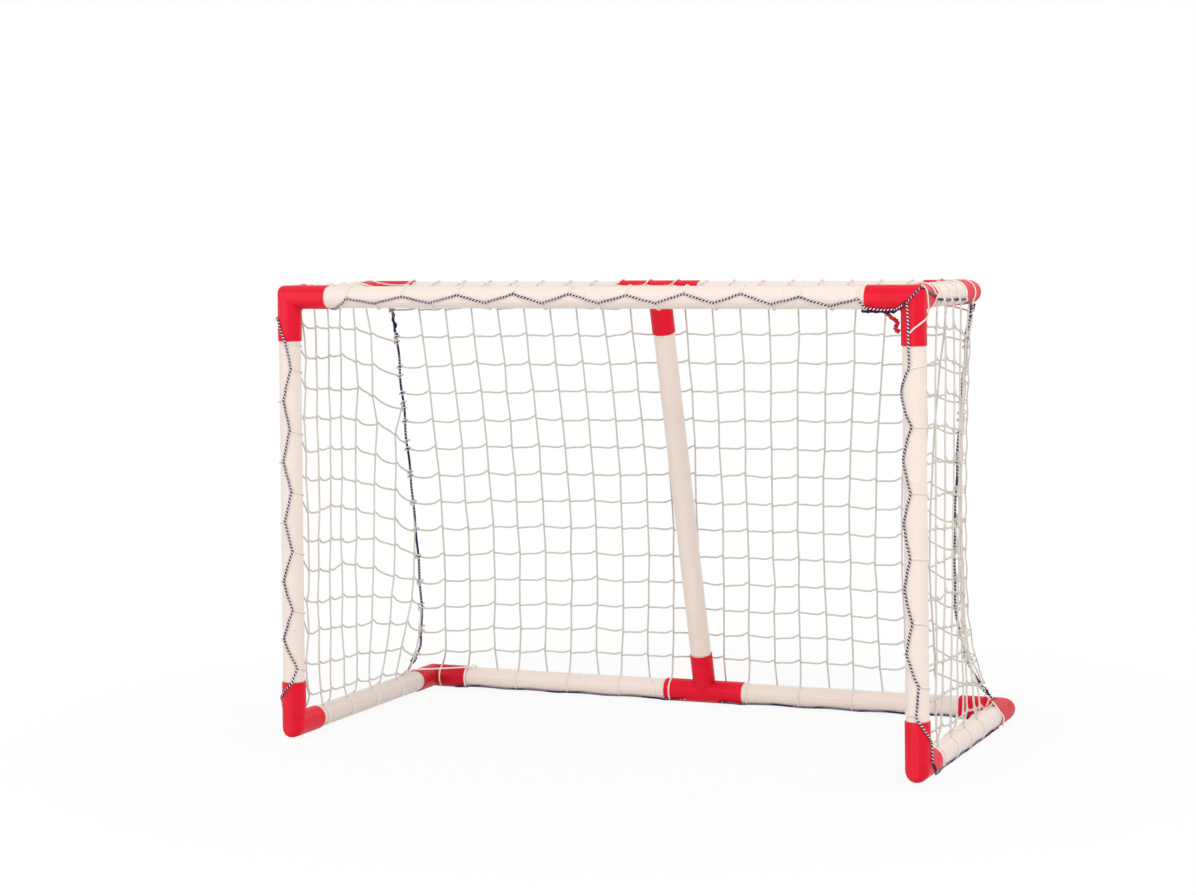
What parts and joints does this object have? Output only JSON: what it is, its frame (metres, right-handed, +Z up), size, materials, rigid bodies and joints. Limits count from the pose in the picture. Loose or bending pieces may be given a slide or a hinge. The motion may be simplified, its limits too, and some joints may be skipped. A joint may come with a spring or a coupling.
{
  "type": "hockey goal",
  "caption": "Floor hockey goal of white plastic tubes in red moulded fittings, with a sloped back, a laced net and a navy border cord.",
  "frame": {"origin": "on the floor, under the middle of the goal's bounding box", "axes": "+X along the crossbar, to the right for someone who looks into the mouth; +Y from the mouth to the back; +Z up"},
  "size_m": [1.0352, 0.5222, 0.6956],
  "materials": {
    "white_tube": "satin",
    "red_fitting": "moulded, glossy",
    "net_cord": "thin knotted twine",
    "navy_cord": "braided, with white flecks",
    "red_cord": "twisted"
  },
  "bodies": {
    "root": {"base_side_tube_left": "white_tube", "base_side_tube_right": "white_tube", "border_cord_base_left": "navy_cord", "border_cord_base_right": "navy_cord", "border_cord_crossbar": "navy_cord", "border_cord_post_left": "navy_cord", "border_cord_post_right": "navy_cord", "border_cord_rear_left": "navy_cord", "border_cord_rear_right": "navy_cord", "brace_tube": "white_tube", "corner_front_top_left": "red_fitting", "corner_front_top_right": "red_fitting", "corner_rope_left": "navy_cord", "corner_rope_right": "navy_cord", "corner_tie": "red_cord", "crossbar_tube": "white_tube", "elbow_front_base_left": "red_fitting", "elbow_front_base_right": "red_fitting", "elbow_rear_base_left": "red_fitting", "elbow_rear_base_right": "red_fitting", "elbow_rear_top_left": "red_fitting", "elbow_rear_top_right": "red_fitting", "net_back": "net_cord", "net_left": "net_cord", "net_right": "net_cord", "net_top": "net_cord", "post_tube_left": "white_tube", "post_tube_right": "white_tube", "rear_base_tube_left": "white_tube", "rear_base_tube_right": "white_tube", "rear_top_tube_left": "white_tube", "rear_top_tube_right": "white_tube", "seam_cord_top_left": "navy_cord", "seam_cord_top_right": "navy_cord", "tee_rear_base": "red_fitting", "tee_rear_top": "red_fitting", "top_side_tube_left": "white_tube", "top_side_tube_right": "white_tube"}
  },
  "joints": []
}
